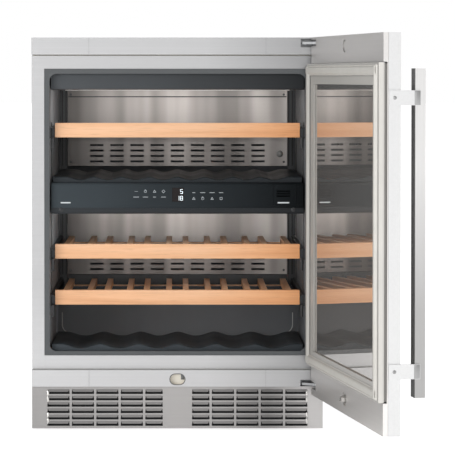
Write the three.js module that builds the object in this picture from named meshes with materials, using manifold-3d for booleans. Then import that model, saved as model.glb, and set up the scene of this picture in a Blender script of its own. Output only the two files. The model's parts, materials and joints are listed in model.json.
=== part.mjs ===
// A built-under wine cabinet with two temperature zones, its glass door standing open.
// Millimetres. X runs to the right, Y to the rear and Z up. Z = 0 is the floor, X = 0 the
// middle of the cabinet and Y = 0 the face of the front frame that the door seals against.
import * as THREE from 'three';
import { mergeVertices } from 'three/addons/utils/BufferGeometryUtils.js';
import Module from 'manifold-3d';

const wasm = await Module();
wasm.setup();

// ---------------------------------------------------------------- driving dimensions
const CLEAR = 0.3; // clearance between pieces that touch
const SHEET = 1.5; // sheet steel
const HALF_WIDTH = 298.5; // half of the 597 mm width for a 600 mm niche
const HEIGHT = 804;
const DEPTH = 528.5; // cabinet alone, front frame to rear panel

const BASE_TOP = 88.6; // top of the ventilated base
const FASCIA_FRONT = -12; // the two fascias stand this far in front of the frame
const FASCIA_GAP = 2; // shadow gap between fascia and frame
const FASCIA_BOTTOM_TOP = 123;
const FASCIA_TOP_BOTTOM = 769;
const FASCIA_SEAM = 181; // end sections of the fascias start here
const SHELL_FRONT = 16; // the outer shell starts behind the frame's folded edge

const OPENING_HALF = 273; // opening in the front frame
const OPENING_BOTTOM = 151.7;
const OPENING_TOP = 740.4;

const CAVITY_HALF = 262.5; // inner liner
const CAVITY_FLOOR = 160;
const CAVITY_CEILING = 730;
const CAVITY_BACK = 497;
const LINER_WALL = 3;
const LINER_FRONT = 4.3;
const MOUTH_RADIUS = 15;
const HUMP_FOOT = 266; // the floor rises here over the compressor space
const HUMP_HEAD = 300;
const HUMP_TOP = 244;

const AIR_PANEL_FRONT = 465;
const AIR_PANEL_HALF = 245.6;
const LOWER_PANEL_BOTTOM = 281;
const CEILING_BOTTOM = 697;

const SHELVES = [
  { name: 'upper', bottom: 599 },
  { name: 'middle', bottom: 349 },
  { name: 'lower', bottom: 254 },
];
const BOARD_HALF = 252;
const BOARD_HEIGHT = 29.5;
const BOARD_FRONT = 25;
const BOARD_THICKNESS = 18;

const DIVIDER_BOTTOM = 442;
const DIVIDER_TOP = 506;
const DIVIDER_FRONT = 12;
const DIVIDER_HALF = 259;

const HINGE = { x: 287.5, y: -28 }; // vertical door axis
const DOOR_OPEN = THREE.MathUtils.degToRad(99.5);
const DOOR_BOTTOM = 75;
const DOOR_FRONT = -46;
const SKIN_BACK = -23.3;
const BAND_BACK = -14;
const BAND_HINGE_EDGE = 292.5; // the bands stop here so that the edge swings clear of the fascias
const BAND_BOTTOM_TOP = 135;
const BAND_TOP_BOTTOM = 751;
const GASKET_BACK = -0.5;
const WINDOW = { half: 248, bottom: 169, top: 709 };
const INNER_WINDOW = { free: -252, hinge: 236 }; // the inner frame is wider along the hinges
const PANE_LAP = 7.5; // the panes run this far behind the edge of the window
const PANE = 4; // glass thickness
const OUTER_PANE_BACK = -39.5;
const INNER_PANE_BACK = -9.6;
const LOCK_HEIGHT = 104;
const OVAL = { half: 16.5, radius: 12, recess: 2 };
const HANDLE = { width: 25, thickness: 20, back: -72, bottom: 144, top: 739 };

// ---------------------------------------------------------------- materials
function finish(color, roughness, metalness = 0, extra = {}) {
  return new THREE.MeshStandardMaterial({ color, roughness, metalness, ...extra });
}
const STAINLESS = finish(0xc4c5c7, 0.35, 0.9);
const PAINTED_STEEL = finish(0xb9bbbd, 0.5, 0.3);
const BARE_STEEL = finish(0xd2d3d4, 0.3, 0.95);
const FOAM = finish(0xe8dfae, 0.9);
const DARK_PLASTIC = finish(0x3c4245, 0.55);
const BLACK_PLASTIC = finish(0x17181a, 0.45);
const GREY_PLASTIC = finish(0xb4b4ad, 0.5);
const LENS = finish(0xf2f4ee, 0.3);
const GLASS = finish(0x4a4744, 0.05, 0, { transparent: true, opacity: 0.45 });
const BEECH = finish(0xdca578, 0.55);
const RUBBER = finish(0x9c9b96, 0.7);
const ALUMINIUM = finish(0xb0b2b4, 0.4, 0.8);

// ---------------------------------------------------------------- shapes and solids
function box(x0, x1, y0, y1, z0, z1) {
  const block = new THREE.BoxGeometry(x1 - x0, y1 - y0, z1 - z0);
  return block.translate((x0 + x1) / 2, (y0 + y1) / 2, (z0 + z1) / 2);
}

function outline(points) {
  return new THREE.Shape(points.map(([u, v]) => new THREE.Vector2(u, v)));
}

function rectangle(u0, u1, v0, v1) {
  return outline([[u0, v0], [u1, v0], [u1, v1], [u0, v1]]);
}

function roundedRectangle(u0, u1, v0, v1, r) {
  const shape = new THREE.Shape();
  shape.moveTo(u0 + r, v0);
  shape.absarc(u1 - r, v0 + r, r, -Math.PI / 2, 0);
  shape.absarc(u1 - r, v1 - r, r, 0, Math.PI / 2);
  shape.absarc(u0 + r, v1 - r, r, Math.PI / 2, Math.PI);
  shape.absarc(u0 + r, v0 + r, r, Math.PI, 1.5 * Math.PI);
  return shape;
}

function stadium(u, v, half, radius) {
  const shape = new THREE.Shape();
  shape.absarc(u + half - radius, v, radius, -Math.PI / 2, Math.PI / 2);
  shape.absarc(u - half + radius, v, radius, Math.PI / 2, 1.5 * Math.PI);
  return shape;
}

function extrude(shape, depth, curveSegments = 6) {
  return new THREE.ExtrudeGeometry(shape, { depth, curveSegments, bevelEnabled: false });
}

// An outline drawn in X and Z, swept along Y.
function alongY(shape, y0, y1, curveSegments) {
  return extrude(shape, y1 - y0, curveSegments).rotateX(Math.PI / 2).translate(0, y1, 0);
}

// An outline drawn in Y and Z, swept along X.
function alongX(shape, x0, x1) {
  const turn = new THREE.Matrix4().makeBasis(
    new THREE.Vector3(0, 1, 0),
    new THREE.Vector3(0, 0, 1),
    new THREE.Vector3(1, 0, 0),
  );
  return extrude(shape, x1 - x0).applyMatrix4(turn).translate(x0, 0, 0);
}

// An outline drawn in X and Y, swept along Z.
function alongZ(shape, z0, z1) {
  return extrude(shape, z1 - z0).translate(0, 0, z0);
}

function cylinderY(x, z, radius, y0, y1, segments = 14) {
  const cylinder = new THREE.CylinderGeometry(radius, radius, y1 - y0, segments);
  return cylinder.translate(x, (y0 + y1) / 2, z);
}

function cylinderZ(x, y, radius, z0, z1, segments = 14) {
  const cylinder = new THREE.CylinderGeometry(radius, radius, z1 - z0, segments);
  return cylinder.rotateX(Math.PI / 2).translate(x, y, (z0 + z1) / 2);
}

function toSolid(geometry) {
  const bare = new THREE.BufferGeometry();
  bare.setAttribute('position', geometry.getAttribute('position'));
  bare.setIndex(geometry.getIndex());
  const merged = mergeVertices(bare, 1e-4);
  return new wasm.Manifold(new wasm.Mesh({
    numProp: 3,
    vertProperties: new Float32Array(merged.getAttribute('position').array),
    triVerts: new Uint32Array(merged.getIndex().array),
  }));
}

function toGeometry(solid) {
  const mesh = solid.getMesh();
  const geometry = new THREE.BufferGeometry();
  geometry.setAttribute('position', new THREE.BufferAttribute(mesh.vertProperties, 3));
  geometry.setIndex(new THREE.BufferAttribute(mesh.triVerts, 1));
  geometry.computeVertexNormals();
  return geometry;
}

function join(...geometries) {
  return toGeometry(geometries.map(toSolid).reduce((whole, piece) => whole.add(piece)));
}

function cut(geometry, ...tools) {
  return toGeometry(tools.map(toSolid).reduce((rest, tool) => rest.subtract(tool), toSolid(geometry)));
}

// A flat ring in X and Z, swept along Y: one outline with one opening.
function frameY(outer, opening, y0, y1, curveSegments) {
  outer.holes.push(opening);
  return alongY(outer, y0, y1, curveSegments);
}

// Both mirror images, left and right, of a piece made for the right-hand side.
function bothSides(make) {
  return [make(1), make(-1)];
}

// A box on the right-hand side (side 1) or its mirror image (side -1).
function sideBox(side, x0, x1, y0, y1, z0, z1) {
  return side > 0 ? box(x0, x1, y0, y1, z0, z1) : box(-x1, -x0, y0, y1, z0, z1);
}

const model = new THREE.Group();

function add(name, geometry, material, parent = model) {
  const mesh = new THREE.Mesh(geometry, material);
  mesh.name = name;
  parent.add(mesh);
}

// ---------------------------------------------------------------- outer casing
function outerShell() {
  const inner = HALF_WIDTH - SHEET;
  const foot = 20;
  return alongY(outline([
    [-HALF_WIDTH, foot], [-inner, foot], [-inner, HEIGHT - SHEET], [inner, HEIGHT - SHEET],
    [inner, foot], [HALF_WIDTH, foot], [HALF_WIDTH, HEIGHT], [-HALF_WIDTH, HEIGHT],
  ]), SHELL_FRONT, DEPTH - SHEET - CLEAR);
}

const INLET = { x: 214, z: 158, width: 28, height: 20 };

function rearPanel() {
  const through = [DEPTH - SHEET - 1, DEPTH + 1];
  const holes = [box(
    INLET.x - INLET.width / 2 - CLEAR, INLET.x + INLET.width / 2 + CLEAR, ...through,
    INLET.z - INLET.height / 2 - CLEAR, INLET.z + INLET.height / 2 + CLEAR,
  )];
  for (const x of [-225, -135, -45, 45, 135]) {
    for (let row = 0; row < 6; row += 1) {
      const z = 60 + 20 * row;
      holes.push(box(x - 38, x + 38, ...through, z, z + 7));
    }
  }
  return cut(box(-HALF_WIDTH, HALF_WIDTH, DEPTH - SHEET, DEPTH, 20, HEIGHT), ...holes);
}

function powerInlet() {
  const { x, z, width, height } = INLET;
  const body = box(x - width / 2, x + width / 2, 500, DEPTH + 1, z - height / 2, z + height / 2);
  const socket = box(x - 11, x + 11, 512, DEPTH + 2, z - 7, z + 7);
  const blades = [-6, 0, 6].map((offset) => box(
    x + offset - 1, x + offset + 1, 511, 517, z - 3, z + 3,
  ));
  return join(cut(body, socket), ...blades);
}

// The liner's inside in Y and Z, grown by an offset: floor, hump over the compressor and ceiling.
function cavityOutline(offset, front) {
  return outline([
    [front, CAVITY_FLOOR - offset], [HUMP_FOOT + offset, CAVITY_FLOOR - offset],
    [HUMP_HEAD + offset, HUMP_TOP - offset], [CAVITY_BACK + offset, HUMP_TOP - offset],
    [CAVITY_BACK + offset, CAVITY_CEILING + offset], [front, CAVITY_CEILING + offset],
  ]);
}

const ZONE_FANS = [{ name: 'upper', z: 620 }, { name: 'lower', z: 378 }];
const ZONE_FAN = { x: 60, radius: 42, front: 470, back: 484 };

function innerLiner() {
  const half = CAVITY_HALF + LINER_WALL;
  const body = alongX(cavityOutline(LINER_WALL, LINER_FRONT), -half, half);
  const hollow = alongX(cavityOutline(0, LINER_FRONT - 5), -CAVITY_HALF, CAVITY_HALF);
  const motors = ZONE_FANS.map(({ z }) => cylinderY(
    ZONE_FAN.x, z, 15, ZONE_FAN.back + 0.5, CAVITY_BACK + 1,
  ));
  return join(cut(body, hollow), ...motors);
}

function insulationFoam() {
  const half = HALF_WIDTH - SHEET - 0.8;
  const body = alongX(outline([
    [LINER_FRONT, 128], [232, 128], [268, 212], [DEPTH - SHEET - 0.5, 212],
    [DEPTH - SHEET - 0.5, HEIGHT - SHEET - CLEAR], [LINER_FRONT, HEIGHT - SHEET - CLEAR],
  ]), -half, half);
  const room = LINER_WALL + CLEAR;
  const hollow = alongX(cavityOutline(room, LINER_FRONT - 5), -CAVITY_HALF - room, CAVITY_HALF + room);
  return cut(body, hollow);
}

function frontFrame() {
  const bottom = FASCIA_BOTTOM_TOP + FASCIA_GAP;
  const top = FASCIA_TOP_BOTTOM - FASCIA_GAP;
  const inner = HALF_WIDTH - SHEET;
  const seams = bothSides((side) => sideBox(
    side, OPENING_HALF - 3, OPENING_HALF - 2.4, -1, 0.5, bottom - 1, OPENING_BOTTOM + 1,
  ));
  return cut(
    box(-HALF_WIDTH, HALF_WIDTH, 0, SHELL_FRONT - CLEAR, bottom, top), ...seams,
    box(-inner, inner, 2, SHELL_FRONT, bottom - 1, top + 1),
    box(-OPENING_HALF, OPENING_HALF, -1, 3, OPENING_BOTTOM, OPENING_TOP),
  );
}

function linerTrim() {
  const half = OPENING_HALF - CLEAR;
  return frameY(
    rectangle(-half, half, OPENING_BOTTOM + CLEAR, OPENING_TOP - CLEAR),
    roundedRectangle(
      -CAVITY_HALF, CAVITY_HALF, CAVITY_FLOOR + CLEAR, CAVITY_CEILING - CLEAR, MOUTH_RADIUS,
    ), 0.6, LINER_FRONT - CLEAR, 5,
  );
}

// A fascia is a folded channel, open to the rear, with closed ends and two fine seams.
function fascia(bottom, top, depth) {
  const channel = alongX(outline([
    [FASCIA_FRONT, bottom], [depth, bottom], [depth, bottom + SHEET],
    [FASCIA_FRONT + SHEET, bottom + SHEET], [FASCIA_FRONT + SHEET, top - SHEET],
    [depth, top - SHEET], [depth, top], [FASCIA_FRONT, top],
  ]), -HALF_WIDTH, HALF_WIDTH);
  const ends = bothSides((side) => sideBox(
    side, HALF_WIDTH - SHEET, HALF_WIDTH, FASCIA_FRONT, depth, bottom, top,
  ));
  const seams = bothSides((side) => sideBox(
    side, FASCIA_SEAM - 0.4, FASCIA_SEAM + 0.4, FASCIA_FRONT - 1, FASCIA_FRONT + 0.6,
    bottom - 1, top + 1,
  ));
  return cut(join(channel, ...ends), ...seams);
}

const HINGE_SLOT = { x0: 252, x1: 277 }; // where the hinge brackets come through the fascias

function topFascia() {
  const slot = box(HINGE_SLOT.x0, HINGE_SLOT.x1, FASCIA_FRONT - 1, FASCIA_FRONT + 3, 784, 801);
  return cut(fascia(FASCIA_TOP_BOTTOM, HEIGHT, 3.8), slot);
}

function bottomFascia() {
  const bottom = BASE_TOP + CLEAR;
  const slot = box(HINGE_SLOT.x0, HINGE_SLOT.x1, FASCIA_FRONT - 1, SHELL_FRONT, bottom - 1, 103);
  const strike = alongY(
    stadium(0, LOCK_HEIGHT, OVAL.half, OVAL.radius), FASCIA_FRONT - 1, FASCIA_FRONT + 3,
  );
  return cut(fascia(bottom, FASCIA_BOTTOM_TOP, SHELL_FRONT - CLEAR), slot, strike);
}

function lockStrike() {
  const cup = alongY(
    stadium(0, LOCK_HEIGHT, OVAL.half - CLEAR, OVAL.radius - CLEAR), FASCIA_FRONT + 0.2, -1,
  );
  const hollow = alongY(
    stadium(0, LOCK_HEIGHT, OVAL.half - 1.5, OVAL.radius - 1.5), FASCIA_FRONT - 1, -2.5,
  );
  return cut(cup, hollow);
}

// ---------------------------------------------------------------- base
const GRILLE = { front: -3, bottom: 2, rows: 6, lowestRow: 9.6, rowPitch: 13.1, slotHeight: 5 };
const GRILLE_SLOTS = [30, 70.6, 120.8, 171, 221.2]; // inner end of each slot, out from the middle
const GRILLE_FIRST_SLOT = 36;
const GRILLE_SLOT = 45.8;

const LOUVRE = { depth: 3, height: 6, taper: 3.5 };

// The stamped scoop above a slot: widest and flush at its top, standing out along its lower edge.
function louvre(x0, x1, z) {
  const { depth, height, taper } = LOUVRE;
  const wall = GRILLE.front + 0.6;
  const lip = GRILLE.front - depth;
  const geometry = new THREE.BufferGeometry();
  geometry.setAttribute('position', new THREE.Float32BufferAttribute([
    x0, wall, z + height, x1, wall, z + height, x1, wall, z, x0, wall, z,
    x0 + taper, lip, z, x1 - taper, lip, z,
  ], 3));
  geometry.setIndex([0, 1, 2, 0, 2, 3, 0, 4, 5, 0, 5, 1, 3, 2, 5, 3, 5, 4, 0, 3, 4, 1, 5, 2]);
  return geometry;
}

function baseGrille() {
  const { front, bottom } = GRILLE;
  const back = SHELL_FRONT - CLEAR;
  const through = [front - 1, front + SHEET + 1];
  const slots = [];
  const louvres = [];
  for (let row = 0; row < GRILLE.rows; row += 1) {
    const z = GRILLE.lowestRow + GRILLE.rowPitch * row - GRILLE.slotHeight / 2;
    GRILLE_SLOTS.forEach((start, column) => {
      const end = start + (column ? GRILLE_SLOT : GRILLE_FIRST_SLOT);
      slots.push(...bothSides((side) => sideBox(
        side, start, end, ...through, z, z + GRILLE.slotHeight,
      )));
      const above = z + GRILLE.slotHeight;
      louvres.push(louvre(start, end, above), louvre(-end, -start, above));
    });
  }
  const edges = [
    box(-HALF_WIDTH, HALF_WIDTH, front + 0.5, back, BASE_TOP - SHEET, BASE_TOP),
    box(-HALF_WIDTH, HALF_WIDTH, front + 0.5, back, bottom, bottom + SHEET),
    ...bothSides((side) => sideBox(
      side, HALF_WIDTH - SHEET, HALF_WIDTH, front + 0.5, back, bottom, BASE_TOP,
    )),
  ];
  const face = box(-HALF_WIDTH, HALF_WIDTH, front, front + SHEET, bottom, BASE_TOP);
  return join(cut(face, ...slots), ...louvres, ...edges);
}

const PAN = { half: 296, front: 20, back: 520, bottom: 26, top: 28 };
const FOOT = { x: 255, y: 62 };
const AXLE = { y: 470, z: 12, radius: 4, tyre: 12 };
const FAN = { x: -150, z: 116, radius: 55, front: 414, back: 436 };

function basePan() {
  const { half, front, back, bottom, top } = PAN;
  const tray = alongY(outline([
    [-half, bottom], [half, bottom], [half, top + 14], [half - 2, top + 14], [half - 2, top],
    [-half + 2, top], [-half + 2, top + 14], [-half, top + 14],
  ]), front, back);
  const ears = bothSides((side) => sideBox(
    side, 226, 230, AXLE.y - 9, AXLE.y + 9, 4, bottom + 1,
  ));
  const post = [
    box(FAN.x - 9, FAN.x + 9, FAN.back + 6, FAN.back + 9, bottom + 1, FAN.z + 16),
    cylinderY(FAN.x, FAN.z, 17, FAN.back + 0.8, FAN.back + 7),
  ];
  const bearing = new THREE.CylinderGeometry(4.6, 4.6, 500, 12)
    .rotateZ(Math.PI / 2).translate(0, AXLE.y, AXLE.z);
  const studs = [-1, 1].map((side) => cylinderZ(side * FOOT.x, FOOT.y, 6, 0, 40, 12));
  return cut(join(tray, ...ears, ...post), bearing, ...studs);
}

function foot() {
  const profile = [[0, 0], [18, 0], [18, 5], [9, 9], [9, 20], [5, 21], [5, 44], [0, 44]];
  const points = profile.map(([r, z]) => new THREE.Vector2(r, z));
  return new THREE.LatheGeometry(points, 14).rotateX(Math.PI / 2);
}

function rearAxle() {
  const { radius, tyre } = AXLE;
  const profile = [
    [0, -262], [radius, -262], [radius, -258], [tyre, -257], [tyre, -239], [radius, -238],
    [radius, 238], [tyre, 239], [tyre, 257], [radius, 258], [radius, 262], [0, 262],
  ];
  const points = profile.map(([r, x]) => new THREE.Vector2(r, x));
  return new THREE.LatheGeometry(points, 16).rotateZ(-Math.PI / 2).translate(0, AXLE.y, AXLE.z);
}

function compressor() {
  const profile = [[0, 34], [52, 34], [68, 48], [72, 62], [72, 118], [66, 140], [44, 158], [0, 164]];
  const points = profile.map(([r, z]) => new THREE.Vector2(r, z));
  const shell = new THREE.LatheGeometry(points, 20).rotateX(Math.PI / 2).translate(130, 400, 0);
  const plate = box(60, 200, 345, 455, PAN.top + CLEAR, 37);
  const terminals = box(186, 214, 378, 422, 80, 126);
  return join(shell, plate, terminals);
}

function condenser() {
  const core = box(-246, -56, 330, 388, 40, 190);
  const grooves = [];
  for (let x = -236; x < -66; x += 17) {
    grooves.push(box(x, x + 9, 329, 345, 48, 182), box(x, x + 9, 373, 389, 48, 182));
  }
  const feet = [-240, -72].map((x) => box(x, x + 12, 335, 383, PAN.top + CLEAR, 41));
  return join(cut(core, ...grooves), ...feet);
}

// An axial fan wheel: a hub with pitched blades, turning on an axis along Y.
function fanWheel({ x, z, radius, front, back }, blades) {
  const hubRadius = radius * 0.34;
  const middle = (front + back) / 2;
  const hub = cylinderY(0, 0, hubRadius, front, back, 16);
  const wings = [];
  for (let i = 0; i < blades; i += 1) {
    const length = radius - hubRadius + 4;
    const blade = new THREE.BoxGeometry(radius * 0.5, 2, length);
    blade.rotateZ(0.5).translate(0, middle, hubRadius - 4 + length / 2);
    wings.push(blade.rotateY((i * 2 * Math.PI) / blades));
  }
  return join(hub, ...wings).translate(x, 0, z);
}

// ---------------------------------------------------------------- cold side, inside the liner
function airPanel(bottom, top, lowestRow) {
  const rowPitch = 12.2;
  const columnPitch = 45.2;
  const slot = { length: 30, height: 4.5 };
  const through = [AIR_PANEL_FRONT - 1, AIR_PANEL_FRONT + SHEET + 1];
  const slots = [];
  for (let row = 0; row < 4; row += 1) {
    const z = lowestRow + rowPitch * row;
    for (let column = -4; column <= 4; column += 1) {
      const x = columnPitch * column;
      slots.push(box(
        x - slot.length / 2, x + slot.length / 2, ...through,
        z - slot.height / 2, z + slot.height / 2,
      ));
    }
  }
  return cut(box(
    -AIR_PANEL_HALF, AIR_PANEL_HALF, AIR_PANEL_FRONT, AIR_PANEL_FRONT + SHEET, bottom, top,
  ), ...slots);
}

function evaporator(bottom) {
  const plate = box(-225, -10, 476, 490, bottom, bottom + 92);
  const grooves = [];
  for (let x = -217; x < -24; x += 18) {
    grooves.push(box(x, x + 10, 475, 485, bottom - 1, bottom + 93));
  }
  return cut(plate, ...grooves);
}

// The dark corner columns beside the rear panels, joined by a cross-piece above and below them.
function rearDuctFrame() {
  const inner = AIR_PANEL_HALF + 0.4;
  const outer = CAVITY_HALF - CLEAR;
  const columns = bothSides((side) => sideBox(
    side, inner, outer, 446, 470, HUMP_TOP + 3, CEILING_BOTTOM - CLEAR,
  ));
  const bead = bothSides((side) => sideBox(
    side, 254, 258, 444.5, 447, HUMP_TOP + 3, CEILING_BOTTOM - CLEAR,
  ));
  const bridge = box(-outer, outer, 463, 470, CEILING_BOTTOM - 2, 727);
  const sill = box(-outer, outer, 463, 470, HUMP_TOP + 3, LOWER_PANEL_BOTTOM - 1);
  return join(...columns, ...bead, bridge, sill);
}

function ceilingHousing() {
  const body = alongX(outline([
    [18, CEILING_BOTTOM + 2], [24, CEILING_BOTTOM], [462, CEILING_BOTTOM],
    [462, 729], [18, 729],
  ]), -260, 260);
  return cut(body, box(-257, 257, 24, 459, CEILING_BOTTOM + 3, 730));
}

function lightStrip() {
  return alongX(outline([
    [180, CEILING_BOTTOM - CLEAR], [181, 694.4], [199, 694.4], [200, CEILING_BOTTOM - CLEAR],
  ]), -238, 238);
}

function zoneDivider() {
  const half = CAVITY_HALF - 2.1;
  const body = alongX(outline([
    [DIVIDER_FRONT + 3, DIVIDER_BOTTOM], [444, DIVIDER_BOTTOM + 4], [444, DIVIDER_TOP - 2],
    [40, DIVIDER_TOP - 2], [40, DIVIDER_BOTTOM + 12], [DIVIDER_FRONT, DIVIDER_BOTTOM + 12],
    [DIVIDER_FRONT, DIVIDER_BOTTOM + 4],
  ]), -half, half);
  const tail = box(-AIR_PANEL_HALF + 2, AIR_PANEL_HALF - 2, 443, AIR_PANEL_FRONT - 1,
    DIVIDER_BOTTOM + 4, DIVIDER_TOP - 2);
  const hollow = box(-half + 3, half - 3, 44, 440, DIVIDER_BOTTOM + 8, DIVIDER_TOP);
  return cut(join(body, tail), hollow);
}

const DISPLAY = { x0: -11, x1: 13.6, z0: 467, z1: 496 };
const FILTER = { x0: 197, x1: 245, z0: 458, z1: 503 };

function controlPanel() {
  const bottom = DIVIDER_BOTTOM + 12 + CLEAR;
  const body = alongX(outline([
    [DIVIDER_FRONT, bottom], [40 - CLEAR, bottom], [40 - CLEAR, DIVIDER_TOP],
    [DIVIDER_FRONT + 5, DIVIDER_TOP], [DIVIDER_FRONT + 1.5, DIVIDER_TOP - 1.5],
    [DIVIDER_FRONT, DIVIDER_TOP - 5],
  ]), -DIVIDER_HALF, DIVIDER_HALF);
  const window = box(DISPLAY.x0, DISPLAY.x1, DIVIDER_FRONT - 1, DIVIDER_FRONT + 2,
    DISPLAY.z0, DISPLAY.z1);
  const filter = alongY(
    roundedRectangle(FILTER.x0, FILTER.x1, FILTER.z0, FILTER.z1, 5),
    DIVIDER_FRONT - 1, DIVIDER_FRONT + 16, 3,
  );
  return cut(body, window, filter);
}

function displayWindow() {
  return box(DISPLAY.x0 + CLEAR, DISPLAY.x1 - CLEAR, DIVIDER_FRONT - 0.2,
    DIVIDER_FRONT + 2 - CLEAR, DISPLAY.z0 + CLEAR, DISPLAY.z1 - CLEAR);
}

function filterCover() {
  const lap = 0.4;
  const face = alongY(roundedRectangle(
    FILTER.x0 + lap, FILTER.x1 - lap, FILTER.z0 + lap, FILTER.z1 - lap, 4.6,
  ), DIVIDER_FRONT - 0.4, DIVIDER_FRONT + 3, 3);
  const slots = [477, 482, 487].map((z) => box(
    204, 232, DIVIDER_FRONT - 1, DIVIDER_FRONT + 4, z, z + 3,
  ));
  return cut(face, ...slots);
}

// A moulded tray with a row of round grooves, each the bed of one lying bottle.
function bottleTray({ half, y0, y1, base, rim, pitch, count, depth }) {
  const shape = new THREE.Shape();
  shape.moveTo(-half, base);
  shape.lineTo(half, base);
  shape.lineTo(half, rim);
  const steps = 10;
  const width = pitch * 0.82;
  for (let groove = count - 1; groove >= 0; groove -= 1) {
    const centre = (groove - (count - 1) / 2) * pitch;
    for (let i = 0; i <= steps; i += 1) {
      const t = i / steps;
      const drop = depth * Math.sin(Math.PI * t);
      shape.lineTo(centre + width * (0.5 - t), rim - drop);
    }
  }
  shape.lineTo(-half, rim);
  return alongY(shape, y0, y1);
}

function temperatureSensor() {
  const profile = [[0, -7], [5, -7], [7.3, -5], [7.3, 0], [0, 0]];
  const points = profile.map(([r, y]) => new THREE.Vector2(r, y));
  return new THREE.LatheGeometry(points, 16).translate(229, AIR_PANEL_FRONT - CLEAR, 551);
}

// ---------------------------------------------------------------- shelves
const RAIL = { inner: 253, outer: 259.5, y0: 26, y1: 420, z0: 1, z1: 18.5 };
const CARRIER_BARS = [60, 386]; // front faces of the two cross bars
const CARRIER_BAR = 6;

// One rack on each side wall: a channel for every shelf and two upright strips behind them.
function railRack(side) {
  const wall = CAVITY_HALF - CLEAR;
  const channels = SHELVES.flatMap(({ bottom }) => [
    sideBox(side, 260, wall, 12, 440, bottom - 1.5, bottom + 21),
    sideBox(side, 255.5, wall, 12, 440, bottom + 19.2, bottom + 21),
    sideBox(side, 255.5, wall, 12, 440, bottom - 1.5, bottom + 0.3),
  ]);
  const uprights = [70, 370].map((y) => sideBox(
    side, 261.2, wall, y, y + 20, SHELVES[2].bottom - 6, SHELVES[0].bottom + 30,
  ));
  return join(...channels, ...uprights);
}

function shelfCarrier(bottom) {
  const { inner, outer, y0, y1, z0, z1 } = RAIL;
  const rails = bothSides((side) => sideBox(side, inner, outer, y0, y1, bottom + z0, bottom + z1));
  const bars = CARRIER_BARS.map((y) => box(
    -inner - 1, inner + 1, y, y + CARRIER_BAR, bottom + 1, bottom + 6.5,
  ));
  return join(...rails, ...bars);
}

function shelfFront(bottom) {
  return box(-BOARD_HALF, BOARD_HALF, BOARD_FRONT, BOARD_FRONT + BOARD_THICKNESS,
    bottom, bottom + BOARD_HEIGHT);
}

const SLAT = { width: 12, pitch: 83.4, spread: 18, end: 235, top: 19.5, bottom: 7, back: 436 };
const BATTEN_DEPTH = 20;

// Two slats under each of five bottles, an end slat on each side, and two battens below.
function shelfDeck(bottom) {
  const front = BOARD_FRONT + BOARD_THICKNESS + CLEAR;
  const middles = [-SLAT.end, SLAT.end];
  for (let bottle = -2; bottle <= 2; bottle += 1) {
    middles.push(bottle * SLAT.pitch - SLAT.spread, bottle * SLAT.pitch + SLAT.spread);
  }
  const slats = middles.map((x) => box(
    x - SLAT.width / 2, x + SLAT.width / 2, front, SLAT.back,
    bottom + SLAT.bottom, bottom + SLAT.top,
  ));
  const battens = CARRIER_BARS.map((y) => box(
    -242, 242, y + CARRIER_BAR + CLEAR, y + CARRIER_BAR + CLEAR + BATTEN_DEPTH,
    bottom + 1, bottom + 8,
  ));
  return join(...slats, ...battens);
}

// ---------------------------------------------------------------- hinges
const HINGE_ARM = 5; // thickness of the arm
const HINGE_PIN = 3.5;

function hingeArm(z) {
  const shape = new THREE.Shape();
  shape.moveTo(255, 2);
  shape.lineTo(255, -17);
  shape.absarc(HINGE.x, HINGE.y, 7, THREE.MathUtils.degToRad(240), THREE.MathUtils.degToRad(420));
  shape.lineTo(275, -14.5);
  shape.lineTo(275, 2);
  return alongZ(shape, z, z + HINGE_ARM);
}

function topHingeBracket() {
  const foot = box(245, 293, 0.8, 3.9, 773, 801);
  return join(foot, hingeArm(790), cylinderZ(HINGE.x, HINGE.y, HINGE_PIN, 777, 791));
}

function bottomHingeBracket() {
  const foot = box(245, 293, 0.8, 4, 92, 121);
  return join(foot, hingeArm(93), cylinderZ(HINGE.x, HINGE.y, HINGE_PIN, 97, 112));
}

// ---------------------------------------------------------------- door, drawn closed
const POCKETS = [{ z0: 786, z1: 799 }, { z0: 88, z1: 102 }]; // room in the door for the hinge arms

function pocketTools() {
  return POCKETS.map(({ z0, z1 }) => box(250, 300, -36, 0, z0, z1));
}

function windowRectangle(lap) {
  return rectangle(
    -WINDOW.half - lap, WINDOW.half + lap, WINDOW.bottom - lap, WINDOW.top + lap,
  );
}

function doorSkin() {
  const wall = 2;
  const rebate = PANE_LAP + 0.5;
  const sheet = frameY(
    rectangle(-HALF_WIDTH, HALF_WIDTH, DOOR_BOTTOM, HEIGHT), windowRectangle(0),
    DOOR_FRONT, DOOR_FRONT + wall,
  );
  const block = frameY(
    rectangle(-HALF_WIDTH, HALF_WIDTH, DOOR_BOTTOM, HEIGHT), windowRectangle(rebate),
    DOOR_FRONT + wall / 2, SKIN_BACK,
  );
  const inner = HALF_WIDTH - wall;
  const post = WINDOW.half + rebate + wall;
  const hollow = [DOOR_FRONT + wall, SKIN_BACK + 1];
  const hollows = [
    box(-inner, -post, ...hollow, DOOR_BOTTOM + wall, HEIGHT - wall),
    box(post, inner, ...hollow, 132, 752),
    box(-post - 1, 240, ...hollow, WINDOW.top + rebate + wall, HEIGHT - wall),
    box(-post - 1, 240, ...hollow, DOOR_BOTTOM + wall, WINDOW.bottom - rebate - wall),
  ];
  const pinHoles = [
    cylinderZ(HINGE.x, HINGE.y, HINGE_PIN + 0.4, 775.5, 787),
    cylinderZ(HINGE.x, HINGE.y, HINGE_PIN + 0.4, 101, 113.5),
  ];
  const keyhole = cylinderY(0, LOCK_HEIGHT, 9, DOOR_FRONT - 1, DOOR_FRONT + wall + 1);
  return cut(join(sheet, block), ...hollows, ...pocketTools(), ...pinHoles, keyhole);
}

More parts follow.
